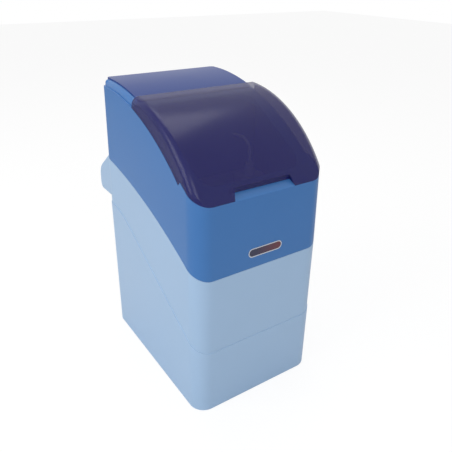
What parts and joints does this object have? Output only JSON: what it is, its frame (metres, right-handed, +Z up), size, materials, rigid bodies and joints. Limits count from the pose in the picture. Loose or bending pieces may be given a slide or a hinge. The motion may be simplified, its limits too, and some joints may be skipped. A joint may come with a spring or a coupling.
{
  "type": "water softener",
  "caption": "Compact cabinet water softener: roll-top salt lid, block-salt brine compartment, paired resin tanks, water-driven valve and hose ports under a rear cowl.",
  "frame": {"origin": "middle of the base footprint on the floor", "axes": "+Z up, the front faces -Y, +X to the right seen from the front"},
  "size_m": [0.236, 0.35, 0.4796],
  "materials": {
    "base_plastic": "satin moulded",
    "housing_plastic": "satin moulded",
    "cover_plastic": "gloss moulded",
    "lid_plastic": "gloss, translucent",
    "badge_metal": "bright rim",
    "badge_face": "gloss",
    "tank_shell": "wound shell",
    "resin": "wet beads",
    "riser_plastic": "extruded",
    "distributor_plastic": "moulded",
    "seal_rubber": "smooth",
    "valve_plastic": "glass filled",
    "valve_cap_plastic": "glass filled",
    "screw_steel": "passivated",
    "seat_ceramic": "lapped",
    "gear_plastic": "moulded",
    "turbine_plastic": "moulded",
    "adapter_plastic": "moulded",
    "clip_plastic": "moulded",
    "drain_plastic": "moulded",
    "well_plastic": "extruded",
    "float_plastic": "moulded",
    "line_plastic": "extruded",
    "grid_plastic": "moulded"
  },
  "bodies": {
    "root": {"base_cabinet": "base_plastic", "upper_housing": "housing_plastic", "rear_cover": "cover_plastic", "cover_screws": "screw_steel", "badge_rim": "badge_metal", "badge_plate": "badge_face", "resin_tank_left": "tank_shell", "resin_tank_right": "tank_shell", "resin_bed_left": "resin", "resin_bed_right": "resin", "riser_tube_left": "riser_plastic", "riser_tube_right": "riser_plastic", "distributor_left": "distributor_plastic", "distributor_right": "distributor_plastic", "neck_seals": "seal_rubber", "valve_manifold": "valve_plastic", "valve_cap": "valve_cap_plastic", "valve_screws": "screw_steel", "valve_seat": "seat_ceramic", "idler_retainer": "screw_steel", "inlet_adapter": "adapter_plastic", "outlet_adapter": "adapter_plastic", "adapter_clips": "clip_plastic", "adapter_seals": "seal_rubber", "drain_barb": "drain_plastic", "overflow_elbow": "drain_plastic", "overflow_nut": "drain_plastic", "brine_well": "well_plastic", "well_cap": "well_plastic", "brine_valve": "drain_plastic", "float_stop": "clip_plastic", "brine_line": "line_plastic", "salt_grid": "grid_plastic"},
    "salt_lid": {"salt_lid": "lid_plastic"},
    "control": {"control_gear": "gear_plastic", "control_disc": "seat_ceramic"},
    "idler": {"idler_gear": "gear_plastic"},
    "turbine": {"turbine_wheel": "turbine_plastic"},
    "brine_float": {"brine_float": "float_plastic"}
  },
  "joints": [
    {"name": "lid_roll", "type": "hinge", "parent": "root", "child": "salt_lid", "pos_m": [0, 0.1395, 0.091], "axis": [-1, 0, 0], "range_deg": [0, 22]},
    {"name": "control_spin", "type": "hinge", "parent": "root", "child": "control", "pos_m": [0, 0.1035, 0.349], "axis": [0, 0, 1], "continuous": true},
    {"name": "idler_spin", "type": "hinge", "parent": "root", "child": "idler", "pos_m": [0.01842, 0.06743, 0.349], "axis": [0, 0, 1], "continuous": true},
    {"name": "turbine_spin", "type": "hinge", "parent": "root", "child": "turbine", "pos_m": [0, 0.0545, 0.349], "axis": [0, 0, 1], "continuous": true},
    {"name": "float_rise", "type": "slide", "parent": "root", "child": "brine_float", "axis": [0, 0, 1], "range_m": [0, 0.155]}
  ],
  "couplings": [
    {"joint": "idler_spin", "follows": "control_spin", "ratio": -2},
    {"joint": "turbine_spin", "follows": "control_spin", "ratio": 3}
  ]
}
